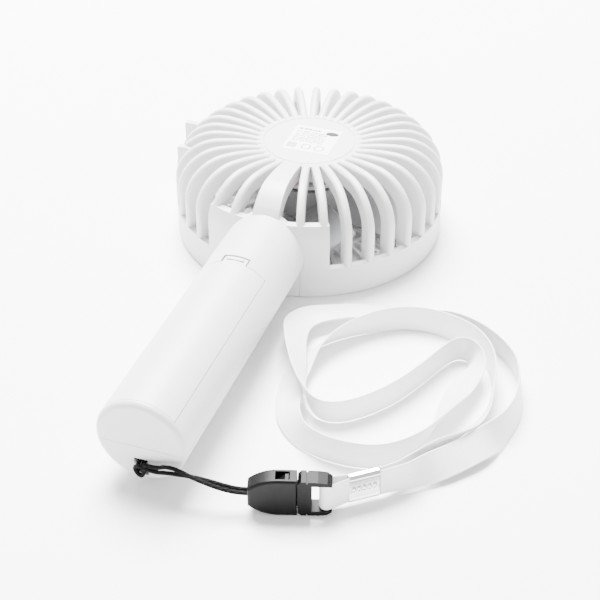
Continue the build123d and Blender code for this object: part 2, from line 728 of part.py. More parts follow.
with BuildPart() as power_button:
    with BuildSketch(Plane.XY.offset(1.6)):
        with Locations((0, BUTTON_Y)):
            Circle(BUTTON_RADIUS)
    extrude(amount=BUTTON_BACK - 1.6)
    fillet(power_button.faces().sort_by(Axis.Z)[0].edges(), radius=0.5)
    with BuildSketch(Plane.XY.offset(PAD_TOP + 0.05)):
        with Locations((0, BUTTON_Y)):
            Circle(5.6)
    extrude(amount=0.7)
power_button.part.label = "power_button"
export_step(power_button.part, "parts/power_button.step")

with BuildPart() as status_led:
    with Locations((0, LED_Y, BOARD_UNDER - 0.4)):
        Box(1.6, 1.2, 0.78)
status_led.part.label = "status_led"
export_step(status_led.part, "parts/status_led.step")

with BuildPart() as light_pipe:
    with BuildSketch(Plane.XY.offset(2.6)):
        with Locations((0, LED_Y)):
            Circle(LIGHT_PIPE_RADIUS)
    extrude(amount=5.5)
light_pipe.part.label = "light_pipe"
export_step(light_pipe.part, "parts/light_pipe.step")

with BuildPart() as rear_label:
    with BuildSketch(Plane.XY.offset(HUB_TOP)):
        with Locations((1.0, 0.5)):
            Rectangle(19, 19.5)
    extrude(amount=0.12)
rear_label.part.label = "rear_label"
export_step(rear_label.part, "parts/rear_label.step")

# --- cords --------------------------------------------------------------------------------------


def bend_radii(points):
    """The largest arc for each corner that leaves a tenth of the shorter run straight."""
    radii = []
    for before, here, after in zip(points, points[1:], points[2:]):
        run_in = Vector(*here) - Vector(*before)
        run_out = Vector(*after) - Vector(*here)
        half_turn = radians(run_in.get_angle(run_out)) / 2
        radii.append(0.45 * min(run_in.length, run_out.length) / tan(half_turn))
    return radii


def cord(name, points, diameter):
    """A round cord along straight runs joined by tangent arcs, written as its own node."""
    radii = bend_radii(points)
    with BuildPart() as made:
        with BuildLine() as path:
            route = FilletPolyline(*points, radius=radii)
        with BuildSketch(path.line ^ 0):
            Circle(diameter / 2)
        sweep()
    made.part.label = name
    export_step(made.part, f"parts/{name}.step")
    length = route.length
    share = made.part.volume / (3.14159265 * diameter**2 / 4 * length)
    print(f"{name}: {length:.0f} mm long, volume / (section x length) {share:.3f}, radii")
    print("  ", " ".join(f"{r:.1f}" for r in radii))


# The motor's two leads run under the spine and down the neck to the board.
for name, x in (("motor_lead_red", TERMINAL_X), ("motor_lead_black", -TERMINAL_X)):
    side = x / TERMINAL_X
    cord(
        name,
        [
            (x, -13.9, TERMINAL_HEIGHT),
            (2.2 * side, -18.0, 32.0),
            (1.6 * side, -23.5, 31.2),
            (1.5 * side, -31.0, 31.7),
            (1.5 * side, -38.0, 30.4),
            (1.5 * side, -43.2, 26.0),
            (1.5 * side, -46.0, 19.5),
            (1.6 * side, -50.5, 13.8),
            (2.0 * side, -56.5, 11.2),
            (2.2 * side, -62.5, BOARD_TOP + 0.62),
        ],
        1.2,
    )

# The cell's negative lead passes under the cell, through the bulkhead, to the board.
cord(
    "battery_lead",
    [
        (4.5, -158.9, 14.5),
        (7.7, -156.3, 11.2),
        (8.6, -151.5, 9.5),
        (8.9, -137.0, 9.7),
        (8.7, -113.0, 9.6),
        (8.6, -94.0, 9.4),
        (8.6, -84.3, 9.4),
        (6.1, -80.6, 11.3),
        (4.4, -76.9, BOARD_TOP + 0.62),
    ],
    1.2,
)

# --- strap hitch and loop cord ------------------------------------------------------------------

HITCH_END = Vector(3.0, -163.8, 10.0)
STRANDS_OUT = Vector(3.0, -0.3, 0)  # the strands' first run, from the hitch
HITCH_PLANE = Plane(origin=HITCH_END, x_dir=Vector(0, 0, 1), z_dir=STRANDS_OUT)
SIDE_STEP = 0.85  # from the strands' shared centre line to each strand's centre

with BuildPart() as cord_hitch:
    # two turns round the strap bar and the collar that the strands leave
    for x in (-SIDE_STEP, SIDE_STEP):
        with Locations(Location((x, STRAP_BAR[0], STRAP_BAR[1]), (0, 90, 0))):
            Torus(STRAP_BAR_RADIUS + CORD / 2 + 0.05, CORD / 2)
    with BuildSketch(HITCH_PLANE):
        SlotOverall(2 * SIDE_STEP + CORD + 0.8, CORD + 0.8)
    extrude(amount=-4.4)
cord_hitch.part.label = "cord_hitch"
export_step(cord_hitch.part, "parts/cord_hitch.step")

U = Vector(cos(radians(BUCKLE_ANGLE)), sin(radians(BUCKLE_ANGLE)), 0)  # along the buckle
MIDDLE = BUCKLE_WIDTH / 2  # height of the buckle's axis
NOSE = Vector(BUCKLE_NOSE[0], BUCKLE_NOSE[1], MIDDLE)
NOSE_BORE_DEPTH = 2.2


def twisted(points, reaches, turns):
    """The route moved out by each reach, each turn in degrees up from its level left side.

    The end runs stay parallel to the first route's.
    """
    last = len(points) - 1
    moved = []
    for i, (reach, turn) in enumerate(zip(reaches, turns)):
        a, b = (i - 1, i + 1) if 1 < i < last - 1 else ((0, 1) if i < 2 else (last - 1, last))
        ahead = points[b] - points[a]
        left = Vector(-ahead.Y, ahead.X, 0).normalized()
        out = left * cos(radians(turn)) + Vector(0, 0, 1) * sin(radians(turn))
        moved.append(points[i] + out * reach)
    return moved


strand_centre = [
    HITCH_END,
    HITCH_END + STRANDS_OUT,
    Vector(9.5, -164.3, 11.6),
    Vector(13.6, -164.1, 11.6),
    Vector(18.2, -163.8, 10.7),
    Vector(22.9, -163.4, 9.8),
    Vector(27.5, -162.8, 8.6),
    NOSE - U * 2.6,
    NOSE + U * NOSE_BORE_DEPTH,
]
# one strand lies above the other at the hitch and they cross half way, a quarter turn in all
reaches = [SIDE_STEP, SIDE_STEP, 1.1, 1.1, SIDE_STEP, 1.0, 0.95, SIDE_STEP, SIDE_STEP]
turns = [90, 90, 75, 100, 142, 165, 180, 180, 180]
cord("loop_cord_left", twisted(strand_centre, reaches, turns), CORD)
cord("loop_cord_right", twisted(strand_centre, reaches, [turn + 180 for turn in turns]), CORD)

# --- buckle -------------------------------------------------------------------------------------

# In this plane x runs along the buckle from its nose, y upwards, and the normal across it.
BUCKLE_SIDE = Plane(origin=NOSE, x_dir=U, z_dir=Vector(U.Y, -U.X, 0))
BUCKLE_END = Plane(origin=NOSE, x_dir=Vector(0, 0, 1), z_dir=U)
SOCKET_LENGTH = 15.2
SOCKET_CAVITY = 4.6
NOSE_HALF_WIDTH = 3.4
SHOULDER_FROM_NOSE = 9.5
WAIST = 18.0
WINDOW_HALF_WIDTH = 5.2
PRONG_HEIGHT = 3.4
PRONG_PIVOT = 16.4
HALF_WIDTH = BUCKLE_WIDTH / 2
HALF_DEPTH = BUCKLE_DEPTH / 2

with BuildPart() as buckle_socket:
    with BuildSketch(BUCKLE_SIDE):
        with BuildLine():
            Line((0, 0), (0, NOSE_HALF_WIDTH))
            shoulder = (SHOULDER_FROM_NOSE, HALF_WIDTH)
            TangentArc(shoulder, (0, NOSE_HALF_WIDTH), tangent=(-1, 0))
            Polyline(shoulder, (SOCKET_LENGTH, HALF_WIDTH), (SOCKET_LENGTH, 0))
            mirror(about=Plane.XZ)
        make_face()
    extrude(amount=HALF_DEPTH, both=True)
    broad_faces = buckle_socket.faces().filter_by(Axis((0, 0, 0), tuple(BUCKLE_SIDE.z_dir)))
    fillet(broad_faces.edges(), radius=0.9)
    with BuildSketch(BUCKLE_END.offset(SOCKET_CAVITY)):
        Rectangle(11, 3.6)
    extrude(amount=SOCKET_LENGTH, mode=Mode.SUBTRACT)
    with BuildSketch(BUCKLE_SIDE):
        with Locations((10.75, 0)):
            Rectangle(4.5, BUCKLE_WIDTH + 2)
    extrude(amount=1.8, both=True, mode=Mode.SUBTRACT)
    with BuildSketch(BUCKLE_END):
        Circle(2.0)
    extrude(amount=NOSE_BORE_DEPTH, mode=Mode.SUBTRACT)
buckle_socket.part.label = "buckle_socket"
export_step(buckle_socket.part, "parts/buckle_socket.step")

with BuildPart() as buckle_insert:
    with BuildSketch(BUCKLE_SIDE):
        # a shoulder with notched corners, a narrow waist, then the ribbon's frame with its horns
        Polygon(
            (SOCKET_LENGTH + 0.2, 0),
            (SOCKET_LENGTH + 0.2, 5.8),
            (SOCKET_LENGTH + 1.3, 7.0),
            (WAIST, 7.0),
            (WAIST, 6.3),
            (WAIST + 0.5, 6.3),
            (WAIST + 0.5, 6.9),
            (BUCKLE_BAR - 2.6, 6.9),
            (BUCKLE_BAR + 0.3, 6.5),
            (BUCKLE_BAR + 1.8, WINDOW_HALF_WIDTH),
            (BUCKLE_BAR + 1.8, 0),
            align=None,
        )
        mirror(about=Plane.XZ)
        with Locations((WAIST + 1.7, 0)):
            Rectangle(12, 2 * WINDOW_HALF_WIDTH, align=(Align.MIN, Align.CENTER), mode=Mode.SUBTRACT)
    extrude(amount=HALF_DEPTH - 0.3, both=True)
    with BuildSketch(BUCKLE_SIDE):
        for side in (-1, 1):
            with Locations((SOCKET_LENGTH, side * PRONG_HEIGHT)):
                Rectangle(2 * (PRONG_PIVOT + 0.85 - SOCKET_LENGTH), 2.0)
    extrude(amount=1.7, both=True, mode=Mode.SUBTRACT)
    with BuildSketch(BUCKLE_END.offset(6)):
        Rectangle(1.6, 2)
    extrude(amount=SOCKET_LENGTH - 5.6)
    with Locations(Location(NOSE + U * BUCKLE_BAR)):
        Cylinder(1.5, 2 * WINDOW_HALF_WIDTH + 0.2)
buckle_insert.part.label = "buckle_insert"
export_step(buckle_insert.part, "parts/buckle_insert.step")


def prong(side):
    """One springy arm of the insert, on the upper (+1) or lower (-1) side, with its barb."""
    with BuildPart() as made:
        with BuildSketch(BUCKLE_SIDE):
            with Locations((PRONG_PIVOT, side * PRONG_HEIGHT)):
                Circle(0.7)
            with Locations((9.2, side * PRONG_HEIGHT)):
                Rectangle(PRONG_PIVOT - 9.2, 1.4, align=(Align.MIN, Align.CENTER))
            Polygon(
                (9.2, side * (PRONG_HEIGHT - 0.7)),
                (9.2, side * (PRONG_HEIGHT + 1.4)),
                (11.6, side * 6.6),
                (12.6, side * 6.6),
                (12.6, side * (PRONG_HEIGHT - 0.7)),
                align=None,
            )
        extrude(amount=1.5, both=True)
    return made.part


buckle_prong_upper = prong(1)
buckle_prong_upper.label = "buckle_prong_upper"
export_step(buckle_prong_upper, "parts/buckle_prong_upper.step")
buckle_prong_lower = prong(-1)
buckle_prong_lower.label = "buckle_prong_lower"
export_step(buckle_prong_lower, "parts/buckle_prong_lower.step")

# --- ribbon tab, crimp and neck ribbon ----------------------------------------------------------

BAR = NOSE + U * BUCKLE_BAR
CRIMP_WAY = Vector(cos(radians(CRIMP_ANGLE)), sin(radians(CRIMP_ANGLE)), 0)
CRIMP_SIDE = Vector(-CRIMP_WAY.Y, CRIMP_WAY.X, 0)
CRIMP_START = BAR + CRIMP_WAY * CRIMP_FROM_BAR
CRIMP_END = CRIMP_START + CRIMP_WAY * CRIMP_LENGTH
CRIMP_THICKNESS = 3.6

with BuildPart() as ribbon_tab:
    for bar_radius, end_radius, mode in ((2.3, 1.0, Mode.ADD), (1.8, 0.5, Mode.SUBTRACT)):
        with BuildSketch(Plane.XY.offset(MIDDLE - RIBBON_WIDTH / 2)):
            with Locations((BAR.X, BAR.Y)):
                Circle(bar_radius)
            with Locations((CRIMP_START.X, CRIMP_START.Y)):
                Circle(end_radius)
            make_hull()
        extrude(amount=RIBBON_WIDTH, mode=mode)
ribbon_tab.part.label = "ribbon_tab"
export_step(ribbon_tab.part, "parts/ribbon_tab.step")

with BuildPart() as ribbon_crimp:
    with BuildSketch(Plane(origin=CRIMP_START, x_dir=CRIMP_SIDE, z_dir=CRIMP_WAY)):
        RectangleRounded(CRIMP_THICKNESS, RIBBON_WIDTH + 1, 0.6)
    extrude(amount=CRIMP_LENGTH)
    with BuildSketch(Plane(origin=CRIMP_START, x_dir=CRIMP_SIDE, z_dir=CRIMP_WAY)):
        Rectangle(2.2, RIBBON_WIDTH + 0.2)
    extrude(amount=3, mode=Mode.SUBTRACT)
ribbon_crimp.part.label = "ribbon_crimp"
export_step(ribbon_crimp.part, "parts/ribbon_crimp.step")

LAYER = RIBBON_TUBE / 2 + 0.05  # from the crimp's axis to each end of the ribbon
RIBBON_MIDDLE = [
    (79.6, -129.5, 5.4), (85.6, -119.3, 5.0), (92.0, -109.5, 5.0), (95.3, -99.5, 5.0),
    (95.9, -88.5, 5.0), (94.3, -78.5, 5.0), (90.3, -68.5, 5.0), (83.5, -60.8, 5.0),
    (74.5, -56.6, 5.0), (64.5, -55.2, 5.0), (55.5, -57.0, 5.0), (47.5, -62.0, 5.0),
    (40.0, -68.5, 5.0), (34.0, -76.0, 3.0), (29.8, -84.5, 1.7), (28.2, -93.5, 1.7),
    (28.6, -103.0, 2.0), (31.0, -112.6, 3.0), (34.6, -121.6, 5.0), (40.8, -128.9, 5.0),
    (49.6, -132.3, 5.0), (59.0, -132.8, 5.0), (67.8, -131.0, 5.0), (75.2, -125.2, 5.0),
    (80.3, -115.5, 5.0), (82.0, -105.5, 5.0), (83.4, -95.5, 5.0), (85.4, -86.0, 5.0),
    (86.6, -77.0, 5.0), (85.6, -70.0, 5.0), (81.6, -66.9, 5.0), (77.2, -69.0, 5.0),
    (73.8, -76.5, 5.0), (70.0, -86.5, 5.0), (65.2, -97.0, 5.0), (58.3, -107.0, 5.0),
    (50.0, -114.6, 5.0), (42.0, -115.6, 5.4), (35.8, -110.5, 6.4), (31.0, -102.5, 7.4),
    (27.0, -93.0, 8.2), (23.4, -84.0, 8.2), (20.9, -75.5, 7.0), (22.3, -67.5, 5.4),
    (29.5, -62.0, 5.0), (39.5, -57.6, 5.0), (50.0, -53.6, 5.0), (61.0, -50.8, 5.0),
    (72.0, -50.0, 5.0), (82.5, -53.4, 5.0), (92.0, -60.6, 5.0), (99.6, -69.8, 5.0),
    (103.9, -80.5, 5.0), (105.3, -92.0, 5.0), (103.2, -103.0, 5.0), (97.8, -113.5, 5.0),
    (91.0, -123.0, 5.0), (83.8, -131.8, 5.6),
]
leaving = CRIMP_END + CRIMP_SIDE * LAYER
returning = CRIMP_END - CRIMP_SIDE * LAYER
ribbon_route = [
    leaving,
    leaving + CRIMP_WAY * 5,
    *[Vector(*point) for point in RIBBON_MIDDLE],
    returning + CRIMP_WAY * 6,
    returning,
]
cord("neck_ribbon", ribbon_route, RIBBON_TUBE)
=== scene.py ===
# %% [markdown]
# A handheld fan, lying on its face
# The hard parts come from the CAD frame and keep their shape. What is made here is everything
# soft: the ribbon, the thin black cord and its hitch. The metal clip also gets its stamped relief
# here, and every surface gets its finish.

# %% Load the frame
import json
from math import radians

import bmesh
import bpy
import numpy as np
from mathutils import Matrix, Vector


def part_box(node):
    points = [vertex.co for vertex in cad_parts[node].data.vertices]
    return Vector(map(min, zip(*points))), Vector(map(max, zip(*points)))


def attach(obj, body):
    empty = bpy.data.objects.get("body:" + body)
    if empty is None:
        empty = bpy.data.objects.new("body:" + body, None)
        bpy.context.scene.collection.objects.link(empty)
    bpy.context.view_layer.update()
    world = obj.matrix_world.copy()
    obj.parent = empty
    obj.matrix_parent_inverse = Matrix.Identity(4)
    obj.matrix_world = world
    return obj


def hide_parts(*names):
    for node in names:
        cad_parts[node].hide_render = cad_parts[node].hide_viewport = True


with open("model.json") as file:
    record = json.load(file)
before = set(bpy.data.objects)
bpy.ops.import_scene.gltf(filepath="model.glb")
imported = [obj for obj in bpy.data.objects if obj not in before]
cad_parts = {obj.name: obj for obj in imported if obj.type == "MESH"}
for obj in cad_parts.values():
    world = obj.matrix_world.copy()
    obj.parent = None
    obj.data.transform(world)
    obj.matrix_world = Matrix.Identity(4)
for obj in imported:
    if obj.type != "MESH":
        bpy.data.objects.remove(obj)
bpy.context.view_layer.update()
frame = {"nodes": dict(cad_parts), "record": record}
MM = 0.001

# %% [markdown]
# The camera
# The fan lies on a pale table and is looked at from the handle's end, a little to its right and
# well above it. A long lens half a metre away keeps the handle from looking too big.

# %% Camera
camera_data = bpy.data.cameras.new("camera")
camera_data.lens = 79.6
camera_data.sensor_width = 36.0
camera_data.clip_start = 0.01
camera = bpy.data.objects.new("camera", camera_data)
bpy.context.scene.collection.objects.link(camera)
camera.location = (0.1467, -0.4322, 0.2954)
aim = Vector((0.0143, -0.0524, 0.0))
camera.rotation_euler = (aim - camera.location).to_track_quat("-Z", "Y").to_euler()
bpy.context.scene.camera = camera
print("camera is", round((aim - camera.location).length / MM), "mm from the point it looks at")

# %% [markdown]
# Small tools
# A finish is a tree of shader nodes and a new piece is arrays of points and quads. So a few short
# functions come first: for a colour, a node, a material and a link, and then three for meshes.

# %% Colours and nodes
def linear(hex_colour):
    """An sRGB hex colour as linear RGBA: each channel c becomes ((c + 0.055) / 1.055) ** 2.4."""
    channels = np.array([int(hex_colour[i : i + 2], 16) for i in (1, 3, 5)]) / 255
    low = channels / 12.92
    high = ((channels + 0.055) / 1.055) ** 2.4
    return (*np.where(channels <= 0.04045, low, high).tolist(), 1.0)


def add_node(material, kind, inputs=None, **settings):
    """One node of this kind, with its settings; inputs holds values, or sockets to link."""
    node = material.node_tree.nodes.new("ShaderNode" + kind)
    for name, value in settings.items():
        setattr(node, name, value)
    for name, value in (inputs or {}).items():
        if isinstance(value, bpy.types.NodeSocket):
            material.node_tree.links.new(value, node.inputs[name])
        else:
            node.inputs[name].default_value = value
    return node


def new_material(name, **shader_values):
    """A material with a Principled shader; the values go straight onto its sockets."""
    material = bpy.data.materials.new(name)
    material.use_nodes = True
    shader = material.node_tree.nodes["Principled BSDF"]
    for socket, value in shader_values.items():
        shader.inputs[socket.replace("_", " ")].default_value = value
    return material, shader


def link(material, output, socket):
    """Connects one node's output to another node's socket."""
    material.node_tree.links.new(output, socket)


print("pure white is", [round(c, 3) for c in linear("#ffffff")])


# %% Meshes
def new_mesh_object(name, points, faces, material, uv=None):
    """A smooth-shaded mesh object at the origin, from an array of points and a list of faces."""
    mesh = bpy.data.meshes.new(name)
    mesh.from_pydata(points.reshape(-1, 3).tolist(), [], faces)
    mesh.polygons.foreach_set("use_smooth", np.ones(len(mesh.polygons), dtype=bool))
    if uv is not None:
        layer = mesh.uv_layers.new(name="along_across")
        corner_vertex = np.empty(len(mesh.loops), dtype=np.int32)
        mesh.loops.foreach_get("vertex_index", corner_vertex)
        layer.data.foreach_set("uv", uv.reshape(-1, 2)[corner_vertex].ravel())
    mesh.materials.append(material)
    made = bpy.data.objects.new(name, mesh)
    bpy.context.scene.collection.objects.link(made)
    print(name, "has", len(mesh.polygons), "faces")
    return made


def grid_faces(along, around):
    """Quads of a tube grid whose second index closes on itself."""
    i = np.arange(along - 1)[:, None] * around
    j = np.arange(around)[None, :]
    k = (j + 1) % around
    return np.stack([i + j, i + k, i + around + k, i + around + j], axis=-1).reshape(-1, 4)


def close_ends(tube, along, around):
    """A tube grid's first and last rings each become one face, and all faces point outwards."""
    shape = bmesh.new()
    shape.from_mesh(tube.data)
    shape.verts.ensure_lookup_table()
    for start in (0, (along - 1) * around):
        shape.faces.new([shape.verts[start + i] for i in range(around)])
    bmesh.ops.recalc_face_normals(shape, faces=shape.faces)
    shape.to_mesh(tube.data)
    shape.free()


# %% [markdown]
# Moulded plastics
# The shell, the grille and the blades are injection-moulded ABS. The mould is spark-eroded, which
# leaves a fine satin grain of about 0.3 mm, so a highlight on it is broad and soft. The tone also
# drifts a little over centimetres as the wall thickness changes, which keeps large areas alive.

# %% Plastics
DRIFT_PER_METRE = 45.0
TONE_LOW = 0.965
GRAIN_HEIGHT = 0.1 * MM


def moulded_plastic(name, colour, roughness, grain_mm=0.3, grain_depth=0.06, shine=0.5):
    """Moulded plastic: a tone drifting over centimetres, and grain of grain_mm as a fine bump.

    The tone goes from TONE_LOW of the colour up to the colour, the roughness swings a little with
    the grain, and shine scales the reflection that the index of refraction gives.
    """
    material, shader = new_material(
        name, Roughness=roughness, IOR=1.53, Specular_IOR_Level=shine
    )
    place = add_node(material, "TexCoord").outputs["Object"]
    drift = add_node(
        material, "TexNoise", {"Vector": place, "Scale": DRIFT_PER_METRE, "Detail": 2.0}
    )
    base = linear(colour)
    tones = add_node(material, "ValToRGB", {"Fac": drift.outputs["Fac"]})
    tones.color_ramp.elements[0].color = tuple(TONE_LOW * c for c in base[:3]) + (1.0,)
    tones.color_ramp.elements[1].color = base
    link(material, tones.outputs["Color"], shader.inputs["Base Color"])
    grain = add_node(material, "TexNoise", {"Vector": place, "Scale": 1 / (grain_mm * MM)})
    gloss = add_node(
        material,
        "MapRange",
        {"Value": grain.outputs["Fac"], "To Min": roughness - 0.05, "To Max": roughness + 0.07},
    )
    link(material, gloss.outputs["Result"], shader.inputs["Roughness"])
    bump = add_node(
        material,
        "Bump",
        {"Height": grain.outputs["Fac"], "Strength": grain_depth, "Distance": GRAIN_HEIGHT},
    )
    link(material, bump.outputs["Normal"], shader.inputs["Normal"])
    return material


white_shell = moulded_plastic("satin_moulded_abs_white", "#d2d2d1", 0.42)
white_grille = moulded_plastic("satin_moulded_abs_grille", "#d2d2d1", 0.45)
# The blades' grey is partly their own colour and partly painted shade. It is made darker so that
# the slots read as dark as the shade inside the housing.
blade_grey_and_painted_slot_shade = moulded_plastic("moulded_abs_blade_grey_and_painted_slot_shade", "#8e8f92", 0.36)
black_buckle = moulded_plastic("moulded_acetal_black", "#060607", 0.4, grain_mm=0.4, shine=0.12)
black_moulding = moulded_plastic("moulded_nylon_black", "#1b1b1c", 0.5)
red_insulation = moulded_plastic("extruded_pvc_red", "#b3201c", 0.4)
black_insulation = moulded_plastic("extruded_pvc_black", "#161617", 0.4)
cell_sleeve = moulded_plastic("shrink_sleeve_blue", "#2f6fb0", 0.25)
button_plastic = moulded_plastic("moulded_abs_button", "#e7e7e6", 0.3)
clear_lens = moulded_plastic("moulded_acrylic_frosted", "#e6edf1", 0.2)
print("plastics ready")

# %% [markdown]
# Metals
# The clip and screws are nickel-plated steel. Plating is bright but never a perfect mirror: rolled
# sheet keeps faint draw lines, drawn here as noise stretched a long way in one direction.

# %% Metals
LINE_STRETCH = 0.05
LINE_HEIGHT = 0.05 * MM


def plated_metal(name, colour, roughness, line_mm=0.15):
    """Metal with draw lines: noise stretched twentyfold along X bends the highlights."""
    material, shader = new_material(name, Base_Color=linear(colour), Metallic=1.0)
    place = add_node(material, "TexCoord").outputs["Object"]
    stretched = add_node(
        material, "Mapping", {"Vector": place, "Scale": (LINE_STRETCH, 1.0, 1.0)}
    )
    lines = add_node(
        material, "TexNoise", {"Vector": stretched.outputs["Vector"], "Scale": 1 / (line_mm * MM)}
    )
    gloss = add_node(
        material,
        "MapRange",
        {"Value": lines.outputs["Fac"], "To Min": roughness - 0.06, "To Max": roughness + 0.1},
    )
    link(material, gloss.outputs["Result"], shader.inputs["Roughness"])
    bump = add_node(
        material,
        "Bump",
        {"Height": lines.outputs["Fac"], "Strength": 0.08, "Distance": LINE_HEIGHT},
    )
    link(material, bump.outputs["Normal"], shader.inputs["Normal"])
    return material


nickel = plated_metal("plated_nickel_steel", "#c9cacc", 0.24)
bright_nickel = plated_metal("bright_nickel_clip", "#d6d7d9", 0.16)
brass = plated_metal("stamped_brass", "#c8a152", 0.3)
bronze = plated_metal("sintered_bronze", "#9c7440", 0.5)
laminations = plated_metal("varnished_laminations", "#5a5654", 0.55)
print("metals ready")

# %% [markdown]
# The circuit board and the magnets
# The board is green solder mask over copper tracks: the tracks stand under the mask as slightly
# lighter lines. The magnets are sintered ferrite, a dark grey ceramic with a dusty grain.

# %% Board and ferrite
board_mask, board_shader = new_material("solder_mask_green", Roughness=0.35, IOR=1.5)
board_place = add_node(board_mask, "TexCoord").outputs["Object"]
tracks = add_node(
    board_mask,
    "TexBrick",
    {
        "Vector": board_place,
        "Color1": linear("#1f5f3a"),
        "Color2": linear("#23683f"),
        "Mortar": linear("#3f8a5c"),
        "Scale": 1.0,
        "Mortar Size": 0.12 * MM,
        "Brick Width": 3.2 * MM,
        "Row Height": 1.3 * MM,
    },
)
link(board_mask, tracks.outputs["Color"], board_shader.inputs["Base Color"])
ferrite = moulded_plastic("sintered_ferrite_grey", "#2d2b2b", 0.7, grain_mm=0.2, grain_depth=0.2)
print("board and ferrite ready")

# %% [markdown]
# The label on the hub
# A printed film label about 19 mm square. Its print is generic: rows of fine dashes where a maker
# sets small type, a dark pill at one corner and two outlined marks. Each mark is arithmetic on the
# label's own plane: a distance to a line or a point, compared with a size in millimetres.

# %% Label
label_low, label_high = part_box("rear_label")
label_centre = [(a + b) / 2 for a, b in zip(label_low, label_high)]
label_film, label_shader = new_material("printed_film_label", Roughness=0.28, IOR=1.5)
label_place = add_node(label_film, "TexCoord").outputs["Object"]
label_plane = add_node(
    label_film,
    "Mapping",
    {"Vector": label_place, "Location": [-c / MM for c in label_centre], "Scale": [1 / MM] * 3},
)
label_axes = add_node(label_film, "SeparateXYZ", {"Vector": label_plane.outputs["Vector"]})


def label_math(operation, a, b=0.0, c=0.0):
    """One arithmetic step on the label's millimetre coordinates."""
    node = label_film.node_tree.nodes.new("ShaderNodeMath")
    node.operation = operation
    for socket, value in zip(node.inputs, (a, b, c)):
        if isinstance(value, bpy.types.NodeSocket):
            link(label_film, value, socket)
        else:
            socket.default_value = value
    return node.outputs[0]


def stripes(axis, pitch):
    """A wave across the label along one axis: the sine of 2 pi times the place over the pitch."""
    return label_math("SINE", label_math("MULTIPLY", label_axes.outputs[axis], 2 * np.pi / pitch))


def inside_box(x, y, half_x, half_y):
    """1 inside the rectangle about (x, y): both distances are under their half sizes."""
    dx = label_math("ABSOLUTE", label_math("SUBTRACT", label_axes.outputs["X"], x))
    dy = label_math("ABSOLUTE", label_math("SUBTRACT", label_axes.outputs["Y"], y))
    within_x = label_math("LESS_THAN", dx, half_x)
    return label_math("MULTIPLY", within_x, label_math("LESS_THAN", dy, half_y))


def inside_oval(x, y, radius_x, radius_y):
    """1 inside the ellipse: the scaled distance from its centre is under 1."""
    dx = label_math("DIVIDE", label_math("SUBTRACT", label_axes.outputs["X"], x), radius_x)
    dy = label_math("DIVIDE", label_math("SUBTRACT", label_axes.outputs["Y"], y), radius_y)
    square = label_math("ADD", label_math("MULTIPLY", dx, dx), label_math("MULTIPLY", dy, dy))
    return label_math("LESS_THAN", square, 1.0)


print("label is", [round((b - a) / MM, 2) for a, b in zip(label_low, label_high)], "mm")

# %% Print on the label
ROW_PITCH, BAR_PITCH = 1.25, 0.55
rows = label_math("GREATER_THAN", stripes("Y", ROW_PITCH), 0.15)
word_noise = add_node(
    label_film,
    "TexNoise",
    {"Vector": label_plane.outputs["Vector"], "Scale": 1.9, "Detail": 0.0},
)
words = label_math("GREATER_THAN", word_noise.outputs["Fac"], 0.46)
dashes = label_math("MULTIPLY", rows, words)
small_type = label_math("MULTIPLY", dashes, inside_box(-1.6, 1.4, 6.3, 4.6))
title_bar = label_math("MULTIPLY", inside_box(-3.4, 7.4, 4.6, 0.55), words)
pill = inside_oval(6.2, 6.4, 2.6, 1.5)
ring_mark = label_math(
    "SUBTRACT", inside_oval(4.6, -6.0, 2.0, 2.0), inside_oval(4.6, -6.0, 1.65, 1.65)
)
box_mark = label_math(
    "SUBTRACT", inside_box(-0.6, -6.0, 1.7, 1.7), inside_box(-0.6, -6.0, 1.35, 1.35)
)
bar_mask = label_math("GREATER_THAN", stripes("X", BAR_PITCH), 0.0)
bars = label_math("MULTIPLY", bar_mask, inside_box(-6.4, -6.0, 1.9, 1.9))
print_mask = small_type
marks = (title_bar, pill, ring_mark, box_mark, bars)
for mark in marks:
    print_mask = label_math("MAXIMUM", print_mask, mark)
label_colour = add_node(
    label_film, "Mix", {"Factor": label_math("MULTIPLY", print_mask, 0.97)}, data_type="RGBA"
)
label_colour.inputs["A"].default_value = linear("#fbfbfa")
label_colour.inputs["B"].default_value = linear("#121214")
link(label_film, label_colour.outputs["Result"], label_shader.inputs["Base Color"])
print("the label has rows of small type and", len(marks), "other marks")

# %% [markdown]
# Every CAD piece gets the finish of its real material
# The record already sorts the nodes into material slots, so one table turns slots into finishes.

# %% Finish the CAD pieces
finish_of_slot = {
    "shell": white_shell, "grille": white_grille, "impeller": blade_grey_and_painted_slot_shade, "steel": nickel,
    "laminations": laminations, "ferrite": ferrite, "black_plastic": black_moulding,
    "brass": brass, "bronze": bronze, "cell_sleeve": cell_sleeve, "board": board_mask,
    "button": button_plastic, "lens": clear_lens, "label": label_film,
    "red_pvc": red_insulation, "black_pvc": black_insulation, "buckle": black_buckle,
    "crimp": bright_nickel,
}
slot_of_node = {part["node"]: part["material_slot"] for part in frame["record"]["subparts"]}
for node_name, node_object in frame["nodes"].items():
    finish = finish_of_slot.get(slot_of_node[node_name])
    if finish is not None:
        node_object.data.materials.clear()
        node_object.data.materials.append(finish)
print(len(frame["nodes"]), "CAD pieces finished")

# %% [markdown]
# Satin ribbon
# Woven satin has long floating threads, here along the ribbon, so it shines in broad bands that
# shift as it twists. The threads are about 0.3 mm apart. Each edge has a tight woven selvedge,
# which comes later as a bead in the band's own shape. The pattern reads the piece's own UV map: u
# is millimetres along the band and v is millimetres across it.

# %% Satin
RIBBON_WIDTH = 10.0
# The wave texture runs through 20 radians in one unit at scale 1: this makes 0.31 mm per thread.
THREAD_SCALE = 1.0186
